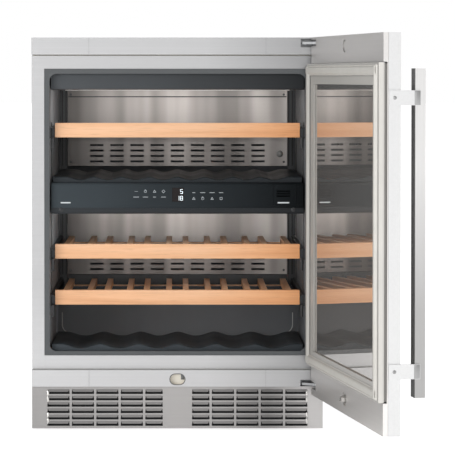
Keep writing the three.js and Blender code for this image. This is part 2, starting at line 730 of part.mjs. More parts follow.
function doorBackCover() {
  const front = SKIN_BACK + CLEAR;
  const plate = frameY(
    rectangle(-HALF_WIDTH + 0.5, HALF_WIDTH - 0.5, DOOR_BOTTOM, HEIGHT),
    windowRectangle(PANE_LAP + 0.5), front, front + 2,
  );
  const bands = [[DOOR_BOTTOM, BAND_BOTTOM_TOP], [BAND_TOP_BOTTOM, HEIGHT]].map(([z0, z1]) => box(
    -HALF_WIDTH + 0.5, BAND_HINGE_EDGE, front + 1, BAND_BACK, z0, z1,
  ));
  const ovals = [LOCK_HEIGHT, 783].map((z) => alongY(
    stadium(0, z, OVAL.half, OVAL.radius), SKIN_BACK - 1, BAND_BACK + 1,
  ));
  return cut(join(plate, ...bands), ...ovals, ...pocketTools());
}

function doorInnerFrame() {
  const z0 = BAND_BOTTOM_TOP + 1;
  const z1 = BAND_TOP_BOTTOM - 1;
  const front = SKIN_BACK + CLEAR + 2 + CLEAR;
  const strip = frameY(
    rectangle(-HALF_WIDTH + 4, HALF_WIDTH - 4, z0 + 2, z1 - 2), windowRectangle(PANE_LAP + 0.5),
    front, -16,
  );
  const opening = rectangle(INNER_WINDOW.free, INNER_WINDOW.hinge, WINDOW.bottom, WINDOW.top);
  const flange = frameY(
    rectangle(-HALF_WIDTH + 2, HALF_WIDTH - 2, z0, z1), opening, -19, -5.8,
  );
  const rebate = frameY(
    rectangle(-HALF_WIDTH - 1, HALF_WIDTH + 1, z0 - 1, z1 + 1),
    rectangle(-HALF_WIDTH + 4, HALF_WIDTH - 4, z0 + 2, z1 - 2), -20, -16,
  );
  const paneSeat = box(
    -WINDOW.half - PANE_LAP - 0.5, WINDOW.half + PANE_LAP + 0.5, -20, INNER_PANE_BACK + CLEAR,
    WINDOW.bottom - PANE_LAP - 0.5, WINDOW.top + PANE_LAP + 0.5,
  );
  const grooveLine = frameY(
    rectangle(-266.5, 266.5, WINDOW.bottom - 18.5, WINDOW.top + 18.5),
    rectangle(-264, 264, WINDOW.bottom - 16, WINDOW.top + 16), -8, -5,
  );
  return cut(join(strip, flange), rebate, paneSeat, grooveLine);
}

function doorGasket() {
  return frameY(
    roundedRectangle(-289, 289, BAND_BOTTOM_TOP + 4, BAND_TOP_BOTTOM - 4, 6),
    roundedRectangle(-268, 268, WINDOW.bottom - 20, WINDOW.top + 20, 4),
    -5.5, GASKET_BACK, 3,
  );
}

function pane(back) {
  const lap = PANE_LAP;
  return box(-WINDOW.half - lap, WINDOW.half + lap, back - PANE, back,
    WINDOW.bottom - lap, WINDOW.top + lap);
}

function glassSpacer() {
  return frameY(windowRectangle(PANE_LAP - 1), windowRectangle(1),
    OUTER_PANE_BACK + CLEAR, INNER_PANE_BACK - PANE - CLEAR);
}

function ovalCap(z, y0, hole) {
  const cap = alongY(
    stadium(0, z, OVAL.half - CLEAR, OVAL.radius - CLEAR), y0, BAND_BACK - OVAL.recess,
  );
  return hole ? cut(cap, cylinderY(0, z, hole, y0 - 1, BAND_BACK + 2, 16)) : cap;
}

// The key barrel runs through the door and carries the bolt that turns behind the strike.
function lockBarrel() {
  const barrel = cylinderY(0, LOCK_HEIGHT, 8.5, DOOR_FRONT - 1.2, -12, 16);
  const bolt = box(-9, 9, -12.6, -6, LOCK_HEIGHT - 4, LOCK_HEIGHT + 4);
  const keySlot = box(-1, 1, DOOR_FRONT - 2, DOOR_FRONT + 6, LOCK_HEIGHT - 4.5, LOCK_HEIGHT + 4.5);
  return cut(join(barrel, bolt), keySlot);
}

function handleBar() {
  const { width, thickness, back, bottom, top } = HANDLE;
  return box(-HALF_WIDTH, -HALF_WIDTH + width, back - thickness, back, bottom, top);
}

// A flat bracket screwed to the free edge of the door, with its tab lapped on the handle bar.
function handleBracket(z) {
  const outer = -HALF_WIDTH - CLEAR;
  const plate = box(outer - 3, outer, HANDLE.back - 10, -24, z - 13.5, z + 13.5);
  const screwHole = new THREE.CylinderGeometry(2.6, 2.6, 3, 12)
    .rotateZ(Math.PI / 2).translate(outer - 3, -35, z);
  return cut(plate, screwHole);
}

// ---------------------------------------------------------------- assembly
add('outer_shell', outerShell(), PAINTED_STEEL);
add('rear_panel', rearPanel(), PAINTED_STEEL);
add('power_inlet', powerInlet(), BLACK_PLASTIC);
add('insulation_foam', insulationFoam(), FOAM);
add('inner_liner', innerLiner(), DARK_PLASTIC);
add('front_frame', frontFrame(), STAINLESS);
add('liner_trim', linerTrim(), GREY_PLASTIC);
add('top_fascia', topFascia(), STAINLESS);
add('bottom_fascia', bottomFascia(), STAINLESS);
add('lock_strike', lockStrike(), BARE_STEEL);

add('base_grille', baseGrille(), STAINLESS);
add('base_pan', basePan(), PAINTED_STEEL);
add('left_foot', foot().translate(-FOOT.x, FOOT.y, 0), BLACK_PLASTIC);
add('right_foot', foot().translate(FOOT.x, FOOT.y, 0), BLACK_PLASTIC);
add('rear_roller_axle', rearAxle(), BARE_STEEL);
add('compressor', compressor(), BLACK_PLASTIC);
add('condenser', condenser(), ALUMINIUM);
add('condenser_fan', fanWheel(FAN, 7), BLACK_PLASTIC);

add('upper_air_panel', airPanel(DIVIDER_TOP + 18, 693, 534), STAINLESS);
add('lower_air_panel', airPanel(LOWER_PANEL_BOTTOM, DIVIDER_BOTTOM - 2, 292), STAINLESS);
add('upper_evaporator', evaporator(560), ALUMINIUM);
add('lower_evaporator', evaporator(320), ALUMINIUM);
for (const { name, z } of ZONE_FANS) {
  add(`${name}_zone_fan`, fanWheel({ ...ZONE_FAN, z }, 5), BLACK_PLASTIC);
}
add('rear_duct_frame', rearDuctFrame(), DARK_PLASTIC);
add('ceiling_housing', ceilingHousing(), DARK_PLASTIC);
add('light_strip', lightStrip(), LENS);
add('zone_divider', zoneDivider(), DARK_PLASTIC);
add('control_panel', controlPanel(), DARK_PLASTIC);
add('display_window', displayWindow(), BLACK_PLASTIC);
add('filter_cover', filterCover(), DARK_PLASTIC);
add('divider_bottle_tray', bottleTray({
  half: 256, y0: 22, y1: 440, base: DIVIDER_TOP + CLEAR, rim: 518, pitch: 57, count: 8, depth: 6,
}), DARK_PLASTIC);
add('floor_bottle_tray', bottleTray({
  half: 258, y0: 14, y1: 262, base: CAVITY_FLOOR + CLEAR, rim: 174, pitch: 79.3, count: 6, depth: 10,
}), DARK_PLASTIC);
add('temperature_sensor', temperatureSensor(), GREY_PLASTIC);

add('left_rail_rack', railRack(-1), BLACK_PLASTIC);
add('right_rail_rack', railRack(1), BLACK_PLASTIC);
for (const { name, bottom } of SHELVES) {
  add(`${name}_shelf_carrier`, shelfCarrier(bottom), BARE_STEEL);
  add(`${name}_shelf_front`, shelfFront(bottom), BEECH);
  add(`${name}_shelf_deck`, shelfDeck(bottom), BEECH);
}

add('top_hinge_bracket', topHingeBracket(), BARE_STEEL);
add('bottom_hinge_bracket', bottomHingeBracket(), BARE_STEEL);

const swing = new THREE.Group();
swing.position.set(HINGE.x, HINGE.y, 0);
swing.rotation.z = DOOR_OPEN;
const door = new THREE.Group();
door.position.set(-HINGE.x, -HINGE.y, 0);
swing.add(door);
model.add(swing);

add('door_skin', doorSkin(), STAINLESS, door);
add('door_back_cover', doorBackCover(), STAINLESS, door);
add('door_inner_frame', doorInnerFrame(), GREY_PLASTIC, door);
add('door_gasket', doorGasket(), RUBBER, door);
add('outer_glass_pane', pane(OUTER_PANE_BACK), GLASS, door);
add('inner_glass_pane', pane(INNER_PANE_BACK), GLASS, door);
add('glass_spacer', glassSpacer(), BLACK_PLASTIC, door);
add('upper_oval_cap', ovalCap(783, -22, 0), BARE_STEEL, door);
add('lower_lock_plate', ovalCap(LOCK_HEIGHT, -22, 8.9), BARE_STEEL, door);
add('lock_barrel', lockBarrel(), BARE_STEEL, door);
add('handle_bar', handleBar(), STAINLESS, door);
add('upper_handle_bracket', handleBracket(686), STAINLESS, door);
add('lower_handle_bracket', handleBracket(192), STAINLESS, door);

export default model;
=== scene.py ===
"""Looks for a built-under two-zone wine cabinet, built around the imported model."""
import json
import math

import bmesh
import bpy
from mathutils import Matrix, Vector


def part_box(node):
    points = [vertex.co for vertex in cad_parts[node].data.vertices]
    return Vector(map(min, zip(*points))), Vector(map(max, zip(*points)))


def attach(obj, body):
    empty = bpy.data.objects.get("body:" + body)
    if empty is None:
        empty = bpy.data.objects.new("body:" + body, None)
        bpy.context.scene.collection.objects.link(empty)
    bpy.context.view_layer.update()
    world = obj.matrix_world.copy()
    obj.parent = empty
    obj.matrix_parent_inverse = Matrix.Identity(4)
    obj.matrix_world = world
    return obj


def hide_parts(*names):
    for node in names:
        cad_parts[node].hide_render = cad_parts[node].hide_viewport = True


MM = 0.001
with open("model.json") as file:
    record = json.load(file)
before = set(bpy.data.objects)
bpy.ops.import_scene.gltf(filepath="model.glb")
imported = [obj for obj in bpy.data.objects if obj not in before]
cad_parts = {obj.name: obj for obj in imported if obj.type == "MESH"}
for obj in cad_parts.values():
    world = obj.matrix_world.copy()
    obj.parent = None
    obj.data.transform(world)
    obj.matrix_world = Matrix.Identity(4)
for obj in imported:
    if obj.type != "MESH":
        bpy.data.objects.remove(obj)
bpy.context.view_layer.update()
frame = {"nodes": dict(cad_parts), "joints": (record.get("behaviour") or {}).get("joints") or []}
nodes = frame["nodes"]
joints = {j["name"]: j for j in frame["joints"]}

# The door stands open at rest; its own pieces are drawn closed and turned about its hinge.
DOOR_AXIS = Vector(joints["door_hinge"]["pos_m"])
DOOR_OPEN = math.radians(-joints["door_hinge"]["range_deg"][0])
OPEN_DOOR = (Matrix.Translation(DOOR_AXIS) @ Matrix.Rotation(DOOR_OPEN, 4, "Z")
             @ Matrix.Translation(-DOOR_AXIS))


def low_high(node):
    """The node's lowest and highest corners, in millimetres."""
    low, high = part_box(node)
    return Vector(low) / MM, Vector(high) / MM


# ---------------------------------------------------------------- node materials
class Shader:
    """A Principled material, with short calls for the node chains used here."""

    def __init__(self, name, on_door=False):
        self.material = bpy.data.materials.new(name)
        self.material.use_nodes = True
        self.tree = self.material.node_tree
        self.bsdf = self.tree.nodes["Principled BSDF"]
        self.coordinates = self.node("ShaderNodeTexCoord").outputs["Object"]
        if on_door:  # the door's meshes stand open, and its coordinates are those of the shut door
            shut = OPEN_DOOR.inverted()
            mapping = self.node("ShaderNodeMapping")
            mapping.inputs["Location"].default_value = shut.translation
            mapping.inputs["Rotation"].default_value = shut.to_euler()
            self.link(self.coordinates, mapping.inputs["Vector"])
            self.coordinates = mapping.outputs["Vector"]

    def node(self, kind, **settings):
        made = self.tree.nodes.new(kind)
        for key, value in settings.items():
            setattr(made, key, value)
        return made

    def link(self, source, target):
        self.tree.links.new(source, target)

    def put(self, **values):
        """Sets sockets of the shader that have one value all over."""
        for key, value in values.items():
            self.bsdf.inputs[key.replace("_", " ")].default_value = value

    def noise(self, stretch, scale=1.0, detail=4.0, roughness=0.55, distortion=0.0):
        mapping = self.node("ShaderNodeMapping")
        mapping.inputs["Scale"].default_value = stretch
        self.link(self.coordinates, mapping.inputs["Vector"])
        noise = self.node("ShaderNodeTexNoise")
        noise.inputs["Scale"].default_value = scale
        noise.inputs["Detail"].default_value = detail
        noise.inputs["Roughness"].default_value = roughness
        noise.inputs["Distortion"].default_value = distortion
        self.link(mapping.outputs["Vector"], noise.inputs["Vector"])
        return noise.outputs["Fac"]

    def ramp(self, factor, *stops):
        """A colour ramp: each stop is a position and a colour or a grey value."""
        ramp = self.node("ShaderNodeValToRGB")
        elements = ramp.color_ramp.elements
        while len(elements) < len(stops):
            elements.new(0.5)
        for element, (position, colour) in zip(elements, stops):
            element.position = position
            if isinstance(colour, (int, float)):
                colour = (colour, colour, colour)
            element.color = (*colour, 1.0)
        self.link(factor, ramp.inputs["Fac"])
        return ramp.outputs["Color"]

    def mix(self, a, b, factor=1.0, blend="MULTIPLY"):
        mix = self.node("ShaderNodeMix", data_type="RGBA", blend_type=blend)
        mix.inputs["Factor"].default_value = factor
        self.link(a, mix.inputs["A"])
        self.link(b, mix.inputs["B"])
        return mix.outputs["Result"]

    def fade(self, axis, *stops):
        """Painted light and shade: a tone that changes along X, Y or Z. Each stop is a place in
        millimetres and a grey.
        """
        parts = self.node("ShaderNodeSeparateXYZ")
        self.link(self.coordinates, parts.inputs["Vector"])
        scale = self.node("ShaderNodeMapRange")
        first, last = stops[0][0], stops[-1][0]
        scale.inputs["From Min"].default_value = first * MM
        scale.inputs["From Max"].default_value = last * MM
        self.link(parts.outputs[axis], scale.inputs["Value"])
        return self.ramp(scale.outputs["Result"],
                         *(((place - first) / (last - first), tone) for place, tone in stops))

    def bump(self, height, strength, distance):
        bump = self.node("ShaderNodeBump")
        bump.inputs["Strength"].default_value = strength
        bump.inputs["Distance"].default_value = distance
        self.link(height, bump.inputs["Height"])
        self.link(bump.outputs["Normal"], self.bsdf.inputs["Normal"])


def colour_of(value):
    """The linear colour of three sRGB values from 0 to 255."""
    def linear(v):
        v /= 255.0
        return v / 12.92 if v <= 0.04045 else ((v + 0.055) / 1.055) ** 2.4
    return tuple(linear(v) for v in value)


def shade(colour, factor):
    return tuple(min(1.0, c * factor) for c in colour)


def brushed_steel(name, srgb, grain, roughness=0.36, painted_shadings=(), on_door=False, shaded_ends=None):
    """Brushed steel. grain is the direction of the brushing: x, y or z. The tone ramps along axes
    are painted light and shade. Where given, the darkening of the faces that look left or right is
    painted shade."""
    s = Shader(name, on_door)
    base = colour_of(srgb)
    fine = {"x": (5, 1100, 1100), "y": (1100, 5, 1100), "z": (1100, 1100, 5)}[grain]
    broad = {"x": (0.7, 190, 190), "y": (190, 0.7, 190), "z": (190, 190, 0.7)}[grain]
    streak = s.noise(fine, detail=3)
    wash = s.ramp(s.noise(broad, detail=2), (0.3, 0.97), (0.7, 1.0))
    tint = s.ramp(streak, (0.3, shade(base, 0.965)), (0.7, shade(base, 1.035)))
    colour = s.mix(tint, wash)
    # Painted light and shade along an axis.
    for fade in painted_shadings:
        colour = s.mix(colour, s.fade(*fade))
    # Painted shade: darkens the faces that look left or right.
    if shaded_ends:
        parts = s.node("ShaderNodeSeparateXYZ")
        side_face_shade = s.node("ShaderNodeMath", operation="ABSOLUTE")
        s.link(s.node("ShaderNodeTexCoord").outputs["Normal"], parts.inputs["Vector"])
        s.link(parts.outputs["X"], side_face_shade.inputs[0])
        colour = s.mix(colour, s.ramp(side_face_shade.outputs[0], (0.3, 1.0), (0.55, shaded_ends)))
    s.link(colour, s.bsdf.inputs["Base Color"])
    s.link(s.ramp(streak, (0.25, roughness - 0.06), (0.75, roughness + 0.08)),
           s.bsdf.inputs["Roughness"])
    s.put(Metallic=1.0)
    s.bump(streak, 0.1, 0.0002)
    return s.material


def moulded_plastic(name, srgb, roughness=0.45, grain=900, strength=0.12, variation=0.05,
                    painted_shadings=(), shine=0.5, on_door=False):
    """Moulded plastic, or paint, with a fine grain and a slight unevenness of tone."""
    s = Shader(name, on_door)
    base = colour_of(srgb)
    grit = s.noise((grain, grain, grain), detail=3)
    cloud = s.noise((9, 9, 9), detail=3)
    colour = s.ramp(cloud, (0.3, shade(base, 1 - variation)), (0.7, shade(base, 1 + variation)))
    # Painted light and shade along an axis.
    for fade in painted_shadings:
        colour = s.mix(colour, s.fade(*fade))
    s.link(colour, s.bsdf.inputs["Base Color"])
    s.link(s.ramp(cloud, (0.3, roughness - 0.05), (0.7, roughness + 0.05)),
           s.bsdf.inputs["Roughness"])
    s.put(Specular_IOR_Level=shine)
    s.bump(grit, strength, 0.0002)
    return s.material


def beech(name, grain):
    """Oiled beech. grain is the direction in which the board runs: x or y."""
    s = Shader(name)
    light, middle, dark = (colour_of(c) for c in (
        (238, 191, 152), (228, 175, 132), (208, 150, 106)))
    long_figure = {"x": (2.2, 55, 55), "y": (55, 2.2, 55)}[grain]
    long_pores = {"x": (28, 900, 900), "y": (900, 28, 900)}[grain]
    figure = s.noise(long_figure, detail=5, distortion=0.6)
    pores = s.noise(long_pores, detail=2)
    patch = s.noise((3, 3, 3), detail=2)
    wood = s.ramp(figure, (0.22, dark), (0.44, middle), (0.72, light))
    fleck = s.ramp(pores, (0.3, 0.86), (0.46, 1.0))
    tone = s.ramp(patch, (0.3, 0.94), (0.7, 1.0))
    colour = s.mix(s.mix(wood, fleck), tone)
    # Painted shade: darker and warmer towards the board's right-hand end.
    if grain == "x":
        colour = s.mix(colour, s.fade("X", (-250, 0.92), (40, 0.9), (250, (0.82, 0.66, 0.47))))
    s.link(colour, s.bsdf.inputs["Base Color"])
    s.link(s.ramp(figure, (0.3, 0.5), (0.7, 0.4)), s.bsdf.inputs["Roughness"])
    s.bump(pores, 0.15, 0.0003)
    return s.material


def tinted_glass(name):
    s = Shader(name)
    haze = s.noise((5, 5, 5), detail=3)
    tint = colour_of((118, 114, 110))
    s.link(s.ramp(haze, (0.2, shade(tint, 0.97)), (0.8, tint)), s.bsdf.inputs["Base Color"])
    s.put(Roughness=0.0, IOR=1.5, Transmission_Weight=1.0)
    return s.material


def rubber(name, srgb, fade):
    s = Shader(name, on_door=True)
    base = colour_of(srgb)
    cloud = s.noise((30, 30, 30), detail=3)
    colour = s.ramp(cloud, (0.3, shade(base, 0.94)), (0.7, base))
    # The tone ramp along an axis is painted light.
    s.link(s.mix(colour, s.fade(*fade)), s.bsdf.inputs["Base Color"])
    s.put(Roughness=0.6)
    s.bump(s.noise((600, 600, 600), detail=2), 0.1, 0.0002)
    return s.material


def foam(name):
    s = Shader(name)
    cells = s.noise((350, 350, 350), detail=4)
    s.link(s.ramp(cells, (0.3, colour_of((150, 144, 128))), (0.7, colour_of((172, 166, 148)))),
           s.bsdf.inputs["Base Color"])
    s.put(Roughness=0.9)
    s.bump(cells, 0.5, 0.001)
    return s.material


def lamp_lens(name):
    s = Shader(name)
    ribs = s.noise((400, 8, 8), detail=1)
    s.link(s.ramp(ribs, (0.3, 0.36), (0.7, 0.42)), s.bsdf.inputs["Base Color"])
    s.put(Roughness=0.3)
    s.bump(ribs, 0.2, 0.0003)
    return s.material


def floor_white(name):
    s = Shader(name)
    cloud = s.noise((6, 6, 6), detail=2)
    s.link(s.ramp(cloud, (0.3, 0.93), (0.7, 0.95)), s.bsdf.inputs["Base Color"])
    s.put(Roughness=0.8, Emission_Color=(1, 1, 1, 1), Emission_Strength=0.6)
    return s.material


def printed(name, srgb, lamp_and_painted_glow=0.6):
    """Printed marks and the lit display digits on the control panel. The digits' glow is their own
    light; on the printed marks the glow is painted glow.
    """
    s = Shader(name)
    base = colour_of(srgb)
    speck = s.noise((900, 900, 900), detail=2)
    s.link(s.ramp(speck, (0.3, shade(base, 0.9)), (0.7, base)), s.bsdf.inputs["Base Color"])
    s.put(Roughness=0.5, Emission_Color=(*base, 1.0), Emission_Strength=lamp_and_painted_glow)
    return s.material


def painted_reflection_steel(name, srgb):
    """Brushed steel with the soft upright bars of its brushed reflections painted into its colour,
    and painted shade and light that darken it to the left and brighten it to the right.
    """
    s = Shader(name)
    base = colour_of(srgb)
    # Painted reflection: soft upright bars, darker and lighter.
    reflection_bars = s.noise((13, 13, 0.5), detail=2, roughness=0.5)
    lines = s.noise((4, 1200, 1200), detail=2)
    tone = s.ramp(reflection_bars, (0.36, shade(base, 0.62)), (0.5, shade(base, 0.95)),
                  (0.64, shade(base, 1.5)))
    colour = s.mix(tone, s.ramp(lines, (0.3, 0.94), (0.7, 1.0)))
    # Painted light and shade: darker to the left, brighter to the right.
    s.link(s.mix(colour, s.fade("X", (-245, 0.45), (-120, 0.8), (90, 0.97), (245, 1.5))),
           s.bsdf.inputs["Base Color"])
    s.link(s.ramp(lines, (0.25, 0.3), (0.75, 0.42)), s.bsdf.inputs["Roughness"])
    s.put(Metallic=1.0)
    s.bump(lines, 0.1, 0.0002)
    return s.material


def coated_glass(name):
    """The inner pane: its heat-reflecting coat makes it partly a mirror."""
    s = Shader(name)
    haze = s.noise((5, 5, 5), detail=3)
    tint = colour_of((218, 214, 210))
    s.link(s.ramp(haze, (0.2, shade(tint, 0.96)), (0.8, tint)), s.bsdf.inputs["Base Color"])
    s.put(Roughness=0.0, IOR=1.5, Metallic=0.78, Transmission_Weight=0.5)
    return s.material


# The tone ramps below are painted light and shade: places in millimetres along an axis, each with
# the tone there.
# Painted shade: darker to the right, where the open door shades the front, and darker towards the
# top.
STEEL_X = brushed_steel("stainless_across", (188, 188, 189), "x", roughness=0.42, painted_shadings=(
    ("X", (-298, 1.0), (60, 0.96), (298, 0.6)),
    ("Z", (120, 1.04), (170, 1.0), (300, 0.88), (800, 0.86))))
FASCIA_STEEL = brushed_steel("stainless_fascia", (190, 190, 191), "x", roughness=0.42, painted_shadings=(
    ("X", (-298, 1.0), (60, 0.98), (298, 0.66)), ("Z", (120, 1.0), (800, 0.86))))
# Painted shade: the handle bar darker on its lower part and much darker on its inner face, towards
# the door.
STEEL_Z = brushed_steel("stainless_upright", (230, 229, 228), "z", roughness=0.4, on_door=True,
                        painted_shadings=(("Z", (150, 0.58), (300, 0.62), (560, 1.0), (740, 1.0)),
                               ("Y", (-92, 1.0), (-73.2, 1.0), (-72.4, 0.26), (-71, 0.26))))
# Painted light: the free end face of the door skin keeps the full tone, every other face is
# darkened to 0.6.
DOOR_STEEL = brushed_steel(
    "stainless_door", (230, 230, 230), "x", roughness=0.44, on_door=True,
    painted_shadings=(("X", (-302, 1.0), (-298, 1.0), (-297.4, 0.6), (-290, 0.6)),))
# Painted highlight along the free edge, and painted light along the bottom.
DOOR_COVER = brushed_steel(
    "stainless_door_back", (188, 186, 184), "x", roughness=0.4, on_door=True,
    painted_shadings=(("X", (-298.5, 1.6), (-297, 1.6), (-296, 1.0), (-294, 1.0)),
           ("Z", (130, 1.12), (160, 1.0))))
# Its upright bars are painted reflection, and its left-to-right ramp is painted shade and light.
AIR_PANEL_STEEL = painted_reflection_steel("stainless_air_panel", (140, 136, 133))
# Painted shade on the louvres' side faces; painted shadow and reflection of the open door as a
# dark band at the right; darker at the left end, brighter at the right end.
GRILLE_STEEL = brushed_steel("stainless_grille", (176, 174, 173), "x", roughness=0.46, shaded_ends=0.2,
                             painted_shadings=(("X", (-298, 0.72), (0, 0.88), (90, 0.84), (185, 0.58),
                                     (240, 0.86), (275, 1.14), (298, 1.18)),))
PAINTED = moulded_plastic("painted_steel", (178, 180, 182), 0.42, grain=500, strength=0.08,
                          variation=0.012)
BRIGHT = brushed_steel("bright_steel", (205, 203, 200), "y", roughness=0.28)
ZINC = brushed_steel("zinc_plated", (104, 105, 106), "y", roughness=0.42)
HINGE_STEEL = brushed_steel("hinge_steel", (126, 127, 128), "y", roughness=0.42)
RAIL_STEEL = brushed_steel("rail_steel", (62, 64, 66), "y", roughness=0.4)
# Darker than bare aluminium: painted shade for fins that sit deep in the gaps.
SHADED_ALUMINIUM = brushed_steel("fin_aluminium", (72, 73, 75), "z", roughness=0.46)
# A darker steel for the bracket screws and for the strips of painted shade beside the handle bar.
SCREW_AND_SHADE_STEEL = brushed_steel("stainless_screw_and_shade", (168, 168, 168), "z", roughness=0.4)
# Painted shade: darker to the right, where the open door shades the inside.
HOUSING = moulded_plastic("ceiling_plastic", (73, 76, 79), 0.42, shine=0.1,
                          painted_shadings=(("X", (-260, 1.0), (-60, 0.8), (260, 0.28)),))
SLATE = moulded_plastic("anthracite_plastic", (46, 49, 52), 0.42, shine=0.12,
                        painted_shadings=(("X", (-260, 1.0), (-60, 0.9), (260, 0.5)),))
# Painted shade to the right; painted light on the floor tray low down and painted shade on the
# divider tray higher up.
TRAY = moulded_plastic("tray_plastic", (52, 57, 61), 0.42, shine=0.12, painted_shadings=(
    ("X", (-260, 1.0), (-60, 0.9), (260, 0.6)), ("Z", (150, 1.35), (300, 1.35), (480, 0.75))))
# Painted light near the mouth and at the rear, and a painted highlight along the left edge.
LINER = moulded_plastic("liner_plastic", (88, 91, 94), 0.5, shine=0.2, painted_shadings=(
    ("Y", (4, 1.2), (200, 1.0), (262, 1.15), (300, 1.15)),
    ("X", (-264, 2.5), (-261, 2.5), (-258, 1.0), (264, 1.0))))
# Painted shade: much darker to the right, where the open door shades the panel.
PANEL = moulded_plastic("control_panel_plastic", (56, 62, 66), 0.36, grain=1400, strength=0.05,
                        shine=0.03, painted_shadings=(("X", (-260, 1.1), (-60, 0.7), (260, 0.12)),))
BLACK = moulded_plastic("black_plastic", (24, 25, 27), 0.35)
GUIDE = moulded_plastic("guide_plastic", (44, 46, 48), 0.35)
DISPLAY = moulded_plastic("display_plastic", (26, 21, 21), 0.16, grain=1500, strength=0.02,
                          shine=0.2)
# Painted highlight on the free-side strips of the inner frame, and painted shade near the skin.
GREY = moulded_plastic("grey_plastic", (150, 148, 144), 0.4, on_door=True, painted_shadings=(
    ("X", (-297, 2.05), (-296.2, 2.05), (-295.9, 1.0), (-280, 1.0)),
    ("Y", (-20, 0.75), (-16, 0.8), (-12, 1.0), (-5, 1.0))))
SENSOR = moulded_plastic("sensor_plastic", (175, 175, 172), 0.3)
STRIKE = moulded_plastic("strike_enamel", (214, 209, 198), 0.3, grain=600, strength=0.05)
TRIM = moulded_plastic("trim_plastic", (68, 71, 73), 0.4)
BEECH_X = beech("beech_board", "x")
BEECH_Y = beech("beech_slat", "y")
GLASS = tinted_glass("tinted_glass")
COATED = coated_glass("coated_glass")
# Painted light on the free side of the seal.
SEAL = rubber("seal_rubber", (168, 166, 161),
              ("X", (-290, 1.42), (-281, 1.42), (-279, 1.0), (-270, 1.0)))
FOAM = foam("insulation_foam")
LENS = lamp_lens("lamp_lens")
# Painted glow on the printed key symbols and the plain marks.
PRINT = printed("panel_print", (160, 166, 170), lamp_and_painted_glow=0.3)
MARKS = printed("panel_marks", (170, 175, 178), lamp_and_painted_glow=0.4)
DIGITS = printed("display_digits", (232, 240, 244))
FLOOR = floor_white("floor_pale")

NODE_MATERIALS = {
    "outer_shell": PAINTED, "rear_panel": PAINTED, "power_inlet": BLACK,
    "insulation_foam": FOAM, "inner_liner": LINER, "front_frame": STEEL_X,
    "liner_trim": TRIM, "top_fascia": FASCIA_STEEL, "bottom_fascia": FASCIA_STEEL,
    "lock_strike": STRIKE, "base_grille": GRILLE_STEEL, "base_pan": PAINTED,
    "left_foot": BLACK, "right_foot": BLACK, "rear_roller_axle": BRIGHT,
    "compressor": BLACK, "condenser": SHADED_ALUMINIUM, "condenser_fan": BLACK,
    "upper_air_panel": AIR_PANEL_STEEL, "lower_air_panel": AIR_PANEL_STEEL,
    "upper_evaporator": SHADED_ALUMINIUM, "lower_evaporator": SHADED_ALUMINIUM,
    "upper_zone_fan": BLACK, "lower_zone_fan": BLACK, "rear_duct_frame": TRIM,
    "ceiling_housing": HOUSING, "light_strip": LENS, "zone_divider": SLATE,
    "control_panel": PANEL, "display_window": DISPLAY, "filter_cover": PANEL,
    "left_rail_rack": GUIDE, "right_rail_rack": GUIDE,
    "top_hinge_bracket": HINGE_STEEL, "bottom_hinge_bracket": HINGE_STEEL,
    "door_skin": DOOR_STEEL, "door_back_cover": DOOR_COVER, "door_inner_frame": GREY,
    "outer_glass_pane": GLASS, "inner_glass_pane": COATED,
    "glass_spacer": BLACK, "upper_oval_cap": DOOR_COVER,
    "lower_lock_plate": DOOR_COVER,
    "lock_barrel": BRIGHT, "handle_bar": STEEL_Z, "upper_handle_bracket": DOOR_STEEL,
    "lower_handle_bracket": DOOR_STEEL,
}
for shelf in ("upper", "middle", "lower"):
    NODE_MATERIALS[f"{shelf}_shelf_carrier"] = RAIL_STEEL
    NODE_MATERIALS[f"{shelf}_shelf_front"] = BEECH_X
    NODE_MATERIALS[f"{shelf}_shelf_deck"] = BEECH_Y

# Edge rounding of the CAD pieces, in millimetres. A piece that isn't here gets the usual one.
USUAL_ROUNDING = 0.5
ROUNDING = {
    "insulation_foam": 0, "inner_glass_pane": 0.4, "outer_glass_pane": 0.4, "glass_spacer": 0,
    "upper_shelf_front": 2.2, "middle_shelf_front": 2.2, "lower_shelf_front": 2.2,
    "upper_shelf_deck": 1.6, "middle_shelf_deck": 1.6, "lower_shelf_deck": 1.6,
    "handle_bar": 1.2, "inner_liner": 2.5, "top_fascia": 0.8, "bottom_fascia": 0.8,
    "door_skin": 0.8, "door_back_cover": 1.0, "front_frame": 0.4, "ceiling_housing": 2.5,
    "zone_divider": 1.2, "liner_trim": 1.2, "control_panel": 1.2, "door_inner_frame": 0.9,
    "base_grille": 0.3,
    "condenser": 0.2, "rear_panel": 0.2, "upper_air_panel": 0.2, "lower_air_panel": 0.2,
}
SMOOTH_ANGLE = math.radians(35)


def smoothing_nodes():
    """A modifier's node group: smooth shading, broken where faces meet at a sharp angle."""
    group = bpy.data.node_groups.new("smooth_by_angle", "GeometryNodeTree")
    group.interface.new_socket("Geometry", in_out="INPUT", socket_type="NodeSocketGeometry")
    group.interface.new_socket("Geometry", in_out="OUTPUT", socket_type="NodeSocketGeometry")
    start, end = group.nodes.new("NodeGroupInput"), group.nodes.new("NodeGroupOutput")
    angle = group.nodes.new("GeometryNodeInputMeshEdgeAngle")
    compare = group.nodes.new("FunctionNodeCompare")
    compare.operation = "LESS_EQUAL"
    compare.inputs["B"].default_value = SMOOTH_ANGLE
    faces = group.nodes.new("GeometryNodeSetShadeSmooth")
    edges = group.nodes.new("GeometryNodeSetShadeSmooth")
    edges.domain = "EDGE"
    group.links.new(start.outputs[0], faces.inputs["Geometry"])
    group.links.new(faces.outputs["Geometry"], edges.inputs["Geometry"])
    group.links.new(angle.outputs["Unsigned Angle"], compare.inputs["A"])
    group.links.new(compare.outputs["Result"], edges.inputs["Shade Smooth"])
    group.links.new(edges.outputs["Geometry"], end.inputs[0])
    return group


SMOOTHING = smoothing_nodes()


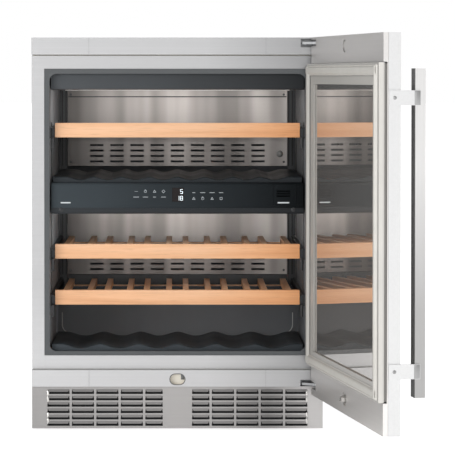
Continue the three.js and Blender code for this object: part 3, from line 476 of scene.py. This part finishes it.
def round_edges(piece, width):
    """Rounds a piece's edges by so many millimetres and smooths its shading."""
    if width:
        bevel = piece.modifiers.new("rounding", "BEVEL")
        bevel.width = width * MM
        bevel.segments = 2
        bevel.limit_method = "ANGLE"
        bevel.angle_limit = math.radians(40)
    piece.modifiers.new("smoothing", "NODES").node_group = SMOOTHING


def dress_cad_nodes():
    for name, material in NODE_MATERIALS.items():
        piece = nodes[name]
        piece.data.materials.clear()
        piece.data.materials.append(material)
        round_edges(piece, ROUNDING.get(name, USUAL_ROUNDING))


# ---------------------------------------------------------------- pieces made here
class Shape:
    """Mesh parts in millimetres, gathered into one piece."""

    def __init__(self):
        self.bm = bmesh.new()

    def box(self, low, high):
        low, high = Vector(low), Vector(high)
        made = bmesh.ops.create_cube(self.bm, size=1)["verts"]
        bmesh.ops.scale(self.bm, vec=high - low, verts=made)
        bmesh.ops.translate(self.bm, vec=(low + high) / 2, verts=made)
        return self

    def turned(self, centre, direction, profile, segments=28):
        """A solid of revolution: profile has (radius, height) steps along the direction."""
        turn = Vector(direction).to_track_quat("Z", "Y").to_matrix().to_4x4()
        place = Matrix.Translation(Vector(centre)) @ turn
        rings = []
        for radius, height in profile:
            rings.append([self.bm.verts.new(place @ Vector((
                radius * math.cos(2 * math.pi * i / segments),
                radius * math.sin(2 * math.pi * i / segments), height)))
                for i in range(segments)])
        self._skin(rings)
        self.bm.faces.new(list(reversed(rings[0])))
        self.bm.faces.new(rings[-1])
        return self

    def swept(self, path, section, closed=True):
        """A section of (side, up) points carried round rings of points with their own axes."""
        rings = [[self.bm.verts.new(point + side * u + up * v) for u, v in section]
                 for point, side, up in path]
        if closed:
            rings.append(rings[0])
        self._skin(rings)
        if not closed:
            self.bm.faces.new(list(reversed(rings[0])))
            self.bm.faces.new(rings[-1])
        return self

    def _skin(self, rings):
        for a, b in zip(rings, rings[1:]):
            for i in range(len(a)):
                j = (i + 1) % len(a)
                self.bm.faces.new((a[i], a[j], b[j], b[i]))

    def piece(self, name, material, slot, body, on_door=False, rounding=0.0):
        place = Matrix.Scale(MM, 4)
        if on_door:
            place = OPEN_DOOR @ place
        bmesh.ops.transform(self.bm, matrix=place, verts=self.bm.verts)
        bmesh.ops.recalc_face_normals(self.bm, faces=self.bm.faces)
        mesh = bpy.data.meshes.new(name)
        self.bm.to_mesh(mesh)
        self.bm.free()
        piece = bpy.data.objects.new(name, mesh)
        bpy.context.scene.collection.objects.link(piece)
        mesh.materials.append(material)
        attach(piece, body)
        round_edges(piece, rounding)
        return piece


SCREW_HEAD = [(0.2, 0), (1.0, 0), (1.0, 0.08), (0.92, 0.3), (0.7, 0.44), (0.42, 0.5),
              (0.36, 0.5), (0.36, 0.2), (0.05, 0.2)]


def screws(name, places, direction, radius, body, on_door=False, material=None):
    """Pan-head screws with a round drive recess, one at each place."""
    shape = Shape()
    for place in places:
        shape.turned(place, direction, [(r * radius, h * radius) for r, h in SCREW_HEAD])
    return shape.piece(name, material or BRIGHT, "bright_steel", body, on_door)


def rounded_ring(half_x, low_z, high_z, radius, y, corner_steps=8):
    """Points round an upright rounded rectangle, each with its outward side and its up (-Y)."""
    path = []
    corners = [(half_x - radius, high_z - radius, 0), (-half_x + radius, high_z - radius, 90),
               (-half_x + radius, low_z + radius, 180), (half_x - radius, low_z + radius, 270)]
    for cx, cz, start in corners:
        for i in range(corner_steps + 1):
            angle = math.radians(start + 90 * i / corner_steps)
            side = Vector((math.cos(angle), 0, math.sin(angle)))
            path.append((Vector((cx, y, cz)) + side * radius, side, Vector((0, 1, 0))))
    return path


# The door seal and the dark ring of painted shade at its inner edge, in the shut door's
# coordinates and millimetres.
GASKET = {"half": 289, "low": 139, "high": 747, "corner": 3, "width": 21, "y": -5.5}
SHADE_LINE = {"half": 266.4, "low": 150.6, "high": 727.4, "corner": 1.5, "y": -5.8}


def door_gasket():
    """A magnetic seal: a foot in the frame, two bellows folds and a flat magnet pad."""
    w = GASKET["width"]
    section = [(0, 0), (-w, 0), (-w, 0.8), (-w + 2, 1.2), (-w + 3.2, 3.0), (-w + 4.6, 4.4),
               (-w + 6.4, 4.9), (-w + 14, 5.0), (-w + 15.4, 4.5), (-w + 16, 3.1),
               (-w + 16.8, 2.2), (-w + 18, 2.9), (-w + 19.2, 3.1), (-w + 20.2, 2.4), (0, 1.2)]
    path = rounded_ring(GASKET["half"], GASKET["low"], GASKET["high"], GASKET["corner"],
                        GASKET["y"])
    seal = Shape().swept(path, section).piece("door_seal", SEAL, "seal_rubber", "door", True)
    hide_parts("door_gasket")


def bottle_tray(name, node, grooves, pitch, depth):
    """A thin moulded tray: a bed for each bottle, a rounded front lip and upturned sides."""
    low, high = low_high(node)
    half, rim = high.x, high.z
    columns, rows = grooves * 12, [low.y, low.y + 1.2, low.y + 4, low.y + 9, high.y - 6, high.y]
    sinks = [2.2, 0.6, 0.0, 0.0, 0.0, 2.0]  # how far the rim falls away at each row
    shape = Shape()
    bm = shape.bm
    grid = []
    for y, sink in zip(rows, sinks):
        line = []
        for i in range(columns + 1):
            x = -half + 2 * half * i / columns
            phase = x / pitch + (grooves % 2) * 0.5
            bed = depth * (0.5 - 0.5 * math.cos(2 * math.pi * phase)) ** 0.8
            inside = abs(x) < grooves * pitch / 2
            line.append(bm.verts.new((x, y, rim - sink - (bed if inside else 0.0))))
        grid.append(line)
    foot = [[bm.verts.new((v.co.x, v.co.y, low.z)) for v in line] for line in (grid[0], grid[-1])]
    for a, b in zip([foot[0]] + grid, grid + [foot[1]]):
        for i in range(columns):
            bm.faces.new((a[i], a[i + 1], b[i + 1], b[i]))
    for side in (0, -1):
        bm.faces.new([foot[0][side]] + [line[side] for line in grid] + [foot[1][side]])
    for i in range(columns):
        bm.faces.new((foot[0][i], foot[1][i], foot[1][i + 1], foot[0][i + 1]))
    tray = shape.piece(name, TRAY, "anthracite_plastic", "cabinet")
    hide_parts(node)


def sensor_knob():
    """The temperature probe's dome on the upper air panel."""
    low, high = low_high("temperature_sensor")
    centre = Vector(((low.x + high.x) / 2, high.y, (low.z + high.z) / 2))
    radius, reach = (high.x - low.x) / 2, high.y - low.y
    dome = [(radius, 0), (radius, reach * 0.35)]
    dome += [(radius * math.cos(a), reach * (0.35 + 0.65 * math.sin(a)))
             for a in (math.radians(d) for d in range(15, 90, 15))] + [(0.4, reach)]
    knob = Shape().turned(centre, (0, -1, 0), dome).piece(
        "sensor_dome", SENSOR, "grey_plastic", "cabinet")
    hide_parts("temperature_sensor")


# The seven strokes of a digit: the (x, z) of each end, in digit widths and half heights.
STROKES = {"a": ((0, 2), (1, 2)), "b": ((1, 2), (1, 1)), "c": ((1, 1), (1, 0)),
           "d": ((1, 0), (0, 0)), "e": ((0, 0), (0, 1)), "f": ((0, 1), (0, 2)),
           "g": ((0, 1), (1, 1))}
DIGIT_STROKES = {"1": "bc", "5": "afgcd", "8": "abcdefg"}
PRINT_DEPTH = 0.15


def bar(shape, x0, z0, x1, z1, width, y):
    """A straight printed bar on the panel's face, from one point to the other."""
    start, end = Vector((x0, 0, z0)), Vector((x1, 0, z1))
    along = (end - start).normalized() * width * 0.5
    across = Vector((-along.z, 0, along.x))
    corners = [start - along + across, end + along + across, end + along - across,
               start - along - across]
    back = [shape.bm.verts.new(c + Vector((0, y, 0))) for c in corners]
    front = [shape.bm.verts.new(c + Vector((0, y - PRINT_DEPTH, 0))) for c in corners]
    shape.bm.faces.new(front)
    shape.bm.faces.new(list(reversed(back)))
    for i in range(4):
        j = (i + 1) % 4
        shape.bm.faces.new((front[j], front[i], back[i], back[j]))


def polygon_outline(shape, x, z, radius, sides, turn, width, y):
    points = [(x + radius * math.cos(math.radians(turn + 360 * i / sides)),
               z + radius * math.sin(math.radians(turn + 360 * i / sides)))
              for i in range(sides)]
    for (x0, z0), (x1, z1) in zip(points, points[1:] + points[:1]):
        bar(shape, x0, z0, x1, z1, width, y)


def display_digits():
    low, high = low_high("display_window")
    face = low.y
    width, half_height = 4.4, 4.1
    right = high.x - 2.6 - width
    shape = Shape()
    for text, base in (("5", high.z - 3.6 - 2 * half_height), ("18", low.z + 2.8)):
        for place, digit in enumerate(reversed(text)):
            left = right - place * (width + 2.9)
            for stroke in DIGIT_STROKES[digit]:
                (x0, z0), (x1, z1) = STROKES[stroke]
                bar(shape, left + x0 * width, base + z0 * half_height,
                    left + x1 * width, base + z1 * half_height, 0.9, face)
    shape.piece("display_digits", DIGITS, "lamp_lens", "cabinet")


# The middles of the touch keys, and half the length of the dash beside each.
KEY_COLUMNS = {"left": (-84.6, -65.7, -47.0, -28.6), "right": (33.6, 51.9, 71.3, 89.8)}
KEY_DASHES = {"left": (5.4, 4.6, 2.4, 4.4), "right": (2.4, 4.8, 4.8, 3.8)}


def key_marks():
    """Generic touch-key symbols with a plain dash beside each."""
    low, _ = low_high("control_panel")
    _, top = low_high("zone_divider")
    face = low.y
    rows = {"left": (top.z - 15.8, top.z - 27.4), "right": (top.z - 30.4, top.z - 18.4)}
    shape = Shape()
    for side, columns in KEY_COLUMNS.items():
        sign_z, dash_z = rows[side]
        for i, (x, dash) in enumerate(zip(columns, KEY_DASHES[side])):
            bar(shape, x - dash, dash_z, x + dash, dash_z, 1.0, face)
            if side == "left" and i == 0:
                bar(shape, x - 3, sign_z, x + 3, sign_z, 0.5, face)
            elif i == 1:
                polygon_outline(shape, x, sign_z, 2.6, 10, 0, 0.8, face)
                bar(shape, x, sign_z + 0.6, x, sign_z + 3.8, 0.9, face)
            elif i == 3:
                polygon_outline(shape, x, sign_z, 3.2, 4, 45 if side == "right" else 0, 0.8, face)
            else:
                polygon_outline(shape, x, sign_z - 0.4, 3.0, 3, 90, 0.9, face)
    shape.piece("key_marks", PRINT, "lamp_lens", "cabinet")


def plain_marks():
    """Two plain light bars where the real panel carries words."""
    low, high = low_high("control_panel")
    filter_low, _ = low_high("filter_cover")
    shape = Shape()
    z, width = high.z - 41, 2.6
    bar(shape, low.x + 20.5, z, low.x + 38, z, width, low.y)
    bar(shape, filter_low.x + 10, z, filter_low.x + 31, z, width, filter_low.y)
    shape.piece("plain_marks", MARKS, "lamp_lens", "cabinet")


def ledge_screws():
    """The two ringed screws that hold the divider, one at each end of its ledge."""
    low, _ = low_high("zone_divider")
    centre_z = low.z + 8.6
    rings = Shape()
    heads = []
    for x in (-238.5, 238.5):
        rings.turned((x, low.y + 0.05, centre_z), (0, -1, 0),
                     [(2.2, 0), (4.6, 0), (4.6, 0.5), (3.9, 0.8), (2.6, 0.8), (2.2, 0.3)])
        heads.append((x, low.y - 0.1, centre_z))
    rings.piece("ledge_screw_rings", BLACK, "black_plastic", "cabinet")
    screws("ledge_screws", heads, (0, -1, 0), 2.4, "cabinet", material=RAIL_STEEL)


def grille_clips():
    """Sprung clips that hold the base grille, seen at the outer ends of its slots."""
    out, heights = 265.5, (17, 62)
    shape = Shape()
    for x in (-out, out):
        for z in heights:
            shape.box((x - 1.9, -4.6, z - 5), (x + 1.9, -2.6, z + 5))
            shape.box((x - 1.9, -4.6, z + 8.1), (x + 1.9, -2.6, z + 17))
            shape.box((x - 1.0, -5.0, z - 6), (x + 0.2, -2.9, z + 18))
    shape.piece("grille_clips", BRIGHT, "bright_steel", "cabinet", rounding=0.5)


def seam_lines():
    """The fine joints between the fascias' middle and end sections."""
    out, half_width = 181, 0.15
    shape = Shape()
    for node in ("top_fascia", "bottom_fascia"):
        low, high = low_high(node)
        for x in (-out, out):
            shape.box((x - half_width, low.y - 0.04, low.z + 0.8),
                      (x + half_width, low.y + 0.3, high.z - 0.8))
    shape.piece("fascia_seams", HINGE_STEEL, "stainless", "cabinet")


def frame_joint():
    """A pale strip in the joint between the front frame and the bottom fascia: painted light that
    takes the shadow out of the joint.
    """
    frame_low, frame_high = low_high("front_frame")
    _, fascia_high = low_high("bottom_fascia")
    front, gap = frame_low.y + 0.5, frame_low.z - fascia_high.z
    shape = Shape().box((frame_low.x + 1, front, fascia_high.z + 0.1 * gap),
                        (frame_high.x - 1, front + 1.0, frame_low.z - 0.1 * gap))
    shape.piece("joint_light_strip", SENSOR, "grey_plastic", "cabinet")


def gasket_shade_line():
    """A dark ring at the door seal's inner edge, in the inner frame's groove: painted shade for
    the shadow line there.
    """
    path = rounded_ring(SHADE_LINE["half"], SHADE_LINE["low"], SHADE_LINE["high"], SHADE_LINE["corner"], SHADE_LINE["y"])
    section = [(0, -0.6), (-2.2, -0.6), (-2.2, 0.45), (-1.1, 0.7), (0, 0.45)]
    Shape().swept(path, section).piece("gasket_shade_line", BLACK, "seal_rubber", "door", True)


def base_filter():
    """The dark filter mat behind the base grille, with its upright ribs."""
    low, high = low_high("base_grille")
    back, ribs, first, pitch = high.y - 2.5, 57, low.x + 18.5, 10
    shape = Shape().box((low.x + 5, back - 2, low.z + 3), (high.x - 5, back, high.z - 3))
    for i in range(ribs):
        x = first + pitch * i
        shape.box((x - 0.8, back - 3.4, low.z + 3), (x + 0.8, back - 1, high.z - 3))
    shape.piece("base_filter", BLACK, "black_plastic", "cabinet")


def strike_details():
    """The dark rim of the lock strike and the small plate deep in its cup."""
    low, high = low_high("lock_strike")
    centre, half = (low + high) / 2, (high.x - low.x) / 2
    radius = (high.z - low.z) / 2
    path = rounded_ring(half - 0.6, low.z + 0.6, high.z - 0.6, radius - 0.61, low.y - 0.1)
    section = [(-0.7, 0.4), (0.7, 0.4), (0.7, -0.5), (-0.7, -0.5)]
    Shape().swept(path, section).piece("strike_rim", ZINC, "bright_steel", "cabinet")
    plate = Shape().box((centre.x + half - 9, low.y + 6.8, centre.z - 1.5),
                        (centre.x + half - 2.2, low.y + 9.2, high.z - 2.2))
    plate.piece("strike_plate", ZINC, "bright_steel", "cabinet", rounding=0.8)


def handle_details():
    """The screws in the handle brackets, and the darker strips beside the bar: painted shade and
    painted reflection of each bracket on the bar.
    """
    for node in ("upper_handle_bracket", "lower_handle_bracket"):
        closed = [OPEN_DOOR.inverted() @ (nodes[node].matrix_world @ v.co)
                  for v in nodes[node].data.vertices]
        low = Vector([min(c[i] for c in closed) for i in range(3)]) / MM
        high = Vector([max(c[i] for c in closed) for i in range(3)]) / MM
        middle = (low.z + high.z) / 2
        name = node.split("_")[0]
        screws(f"{name}_bracket_screw", [(low.x, high.y - 10, middle)], (-1, 0, 0), 3.4,
               "door", True, SCREW_AND_SHADE_STEEL)
        shade_strip = Shape().box((low.x - 0.5, low.y + 0.6, low.z + 0.6),
                          (low.x + 0.2, low.y + 11.5, high.z - 0.6))
        shade_strip.piece(f"{name}_bracket_shade_strip", SCREW_AND_SHADE_STEEL, "stainless", "door", True, rounding=0.2)


def liner_highlight_beads():
    """A pale bead down each side of the liner's rear wall and round its lower corner: a painted
    highlight along the rounded corner there.
    """
    shape = Shape()
    y, top, floor, reach, bead = 265.2, 214.0, 161.0, 249.0, 0.9
    across, down = 48.0, 26.0  # how far the corner's arc reaches
    section = [(bead * math.cos(a), bead * math.sin(a))
               for a in (math.radians(45 * k) for k in range(8))]
    for side in (-1, 1):
        path = [(Vector((side * reach, y, z)), Vector((side, 0, 0)), Vector((0, 1, 0)))
                for z in (top, floor + down + 3)]
        centre = Vector((side * (reach - across), y, floor + down))
        for i in range(9):
            angle = math.radians(90 * i / 8)
            out = Vector((side * math.cos(angle), 0, -math.sin(angle)))
            place = centre + Vector((out.x * across, 0, out.z * down))
            path.append((place, out, Vector((0, 1, 0))))
        shape.swept(path, section, closed=False)
    shape.piece("liner_highlight_beads", SENSOR, "grey_plastic", "cabinet")


def duct_details():
    """The fold along the top of the upper air panel, and the dark joints beside both panels."""
    low, high = low_high("upper_air_panel")
    middle, half_height = high.z - 14, 1.2
    fold = Shape().box((low.x + 1, low.y - 0.5, middle - half_height),
                       (high.x - 1, low.y + 0.2, middle + half_height))
    fold.piece("air_panel_fold", RAIL_STEEL, "stainless", "cabinet")
    front = low_high("rear_duct_frame")[0].y
    half_width = 1.5
    joints = Shape()
    for node in ("upper_air_panel", "lower_air_panel"):
        low, high = low_high(node)
        for x in (high.x + 2.5, high.x + 11):
            for place in (-x, x):
                joints.box((place - half_width, front - 0.4, low.z + 1),
                           (place + half_width, front + 0.2, high.z - 1))
    joints.piece("duct_frame_joints", BLACK, "black_plastic", "cabinet")


def rail_ends():
    """The dark front ends of the fixed rails, just below the ends of each shelf's board."""
    inner, outer, drop, thickness = 253.4, 258.6, 24, 2.6
    front = low_high("left_rail_rack")[0].y - 0.3
    shape = Shape()
    for shelf in ("upper", "middle", "lower"):
        top = low_high(f"{shelf}_shelf_carrier")[0].z - 0.5
        bottom = low_high(f"{shelf}_shelf_front")[0].z - drop
        for x0, x1 in ((-outer, -inner), (inner, outer)):
            shape.box((x0, front - thickness, bottom), (x1, front, top))
    shape.piece("rail_ends", BLACK, "black_plastic", "cabinet", rounding=0.6)


def panel_screws():
    """The screws at the air panels' corners and round the rear panel's edges."""
    inset_x, inset_z = 7, 9
    heads = []
    for node in ("upper_air_panel", "lower_air_panel"):
        low, high = low_high(node)
        for x in (low.x + inset_x, high.x - inset_x):
            for z in (low.z + inset_z, high.z - inset_z):
                heads.append((x, low.y, z))
    screws("air_panel_screws", heads, (0, -1, 0), 2.6, "cabinet", material=ZINC)
    low, high = low_high("rear_panel")
    heads = [(x, high.y, z) for x in (low.x + 9, high.x - 9) for z in (40, 230, 420, 610, 790)]
    heads += [(x, high.y, high.z - 12) for x in (-150, 0, 150)]
    screws("rear_panel_screws", heads, (0, 1, 0), 2.0, "cabinet")


# ---------------------------------------------------------------- camera, light and stage
CAMERA = {"distance": 4.93, "height": 0.724, "lens": 190.4, "sensor": 36.0, "pitch": 1.3,
          "shift_x": 0.1101, "shift_y": -0.2115}
WHITE = (1, 1, 1, 1)
FLOOR_DROP = 0.0006  # the floor lies this far under the feet
FLOOR_HALF = 60


def make_camera():
    camera = bpy.data.objects.new("camera", bpy.data.cameras.new("camera"))
    bpy.context.scene.collection.objects.link(camera)
    camera.data.sensor_width = CAMERA["sensor"]
    camera.data.lens = CAMERA["lens"]
    camera.data.shift_x = CAMERA["shift_x"]
    camera.data.shift_y = CAMERA["shift_y"]
    camera.data.clip_end = 200
    camera.location = (0, -CAMERA["distance"], CAMERA["height"])
    camera.rotation_euler = (math.radians(90 - CAMERA["pitch"]), 0, 0)
    bpy.context.scene.camera = camera


def area_light(name, place, aim, size, power):
    light = bpy.data.objects.new(name, bpy.data.lights.new(name, "AREA"))
    bpy.context.scene.collection.objects.link(light)
    light.data.shape = "RECTANGLE"
    light.data.size, light.data.size_y = size
    light.data.energy = power
    light.location = place
    light.rotation_euler = (Vector(aim) - Vector(place)).to_track_quat("-Z", "Y").to_euler()
    light.visible_camera = False


def make_world():
    """White light from all round, behind which the camera sees pure white."""
    world = bpy.data.worlds.new("studio")
    world.use_nodes = True
    tree = world.node_tree
    light = tree.nodes["Background"]
    light.inputs["Color"].default_value = WHITE
    light.inputs["Strength"].default_value = 0.62
    backdrop = tree.nodes.new("ShaderNodeBackground")
    backdrop.inputs["Color"].default_value = WHITE
    seen = tree.nodes.new("ShaderNodeLightPath")
    mix = tree.nodes.new("ShaderNodeMixShader")
    tree.links.new(seen.outputs["Is Camera Ray"], mix.inputs["Fac"])
    tree.links.new(light.outputs["Background"], mix.inputs[1])
    tree.links.new(backdrop.outputs["Background"], mix.inputs[2])
    tree.links.new(mix.outputs["Shader"], tree.nodes["World Output"].inputs["Surface"])
    bpy.context.scene.world = world


def make_lights():
    area_light("key", (-2.4, -2.6, 0.85), (-0.1, 0, 0.4), (1.8, 1.6), 55)
    area_light("front", (0.3, -4.2, 1.4), (0, 0, 0.45), (1.6, 1.2), 14)
    area_light("upper_zone_light", (0, 0.06, 0.69), (0, 0.3, 0.5), (0.44, 0.02), 0.5)
    area_light("lower_zone_light", (0, 0.06, 0.438), (0, 0.3, 0.25), (0.44, 0.02), 0.6)


def make_floor():
    bm = bmesh.new()
    bmesh.ops.create_grid(bm, x_segments=8, y_segments=8, size=FLOOR_HALF)
    mesh = bpy.data.meshes.new("floor")
    bm.to_mesh(mesh)
    bm.free()
    floor = bpy.data.objects.new("floor", mesh)
    bpy.context.scene.collection.objects.link(floor)
    floor.location.z = -FLOOR_DROP
    mesh.materials.append(FLOOR)


bpy.context.scene.view_settings.view_transform = "Standard"
make_camera()
make_world()
make_lights()
make_floor()
dress_cad_nodes()
door_gasket()
bottle_tray("divider_tray", "divider_bottle_tray", 8, 57, 6)
bottle_tray("floor_tray", "floor_bottle_tray", 6, 79.3, 9)
sensor_knob()
display_digits()
key_marks()
plain_marks()
ledge_screws()
grille_clips()
seam_lines()
frame_joint()
gasket_shade_line()
base_filter()
strike_details()
handle_details()
liner_highlight_beads()
duct_details()
rail_ends()
panel_screws()
